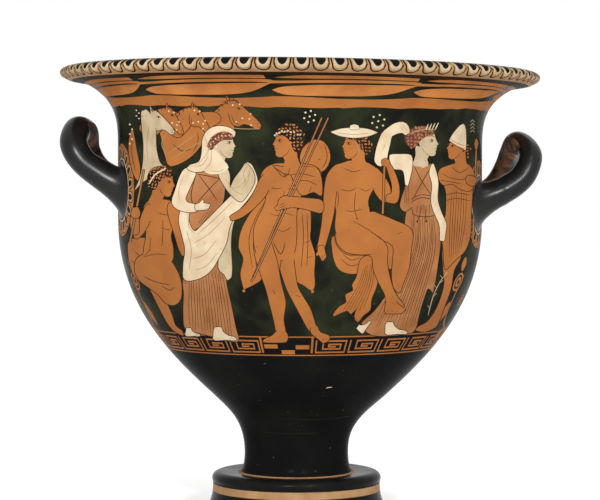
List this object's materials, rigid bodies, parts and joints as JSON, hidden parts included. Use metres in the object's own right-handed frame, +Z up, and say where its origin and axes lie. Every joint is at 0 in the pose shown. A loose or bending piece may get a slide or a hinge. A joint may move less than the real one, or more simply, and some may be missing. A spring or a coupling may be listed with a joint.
{
  "type": "bell krater",
  "caption": "Bell-shaped mixing bowl of painted, black-glossed clay with upturned loop handles, an overhanging rim and a turned foot.",
  "frame": {"origin": "on the ground, on the axis of the bowl", "axes": "+Z up out of the mouth, -Y towards the picture side, +X towards the handle on the viewer's right"},
  "size_m": [0.4208, 0.4208, 0.39],
  "materials": {
    "painted_clay": "fired orange clay under a lustrous black gloss, with a picture left in the clay colour and touched up in white, brown and red"
  },
  "bodies": {
    "root": {"krater": "painted_clay"}
  },
  "joints": []
}
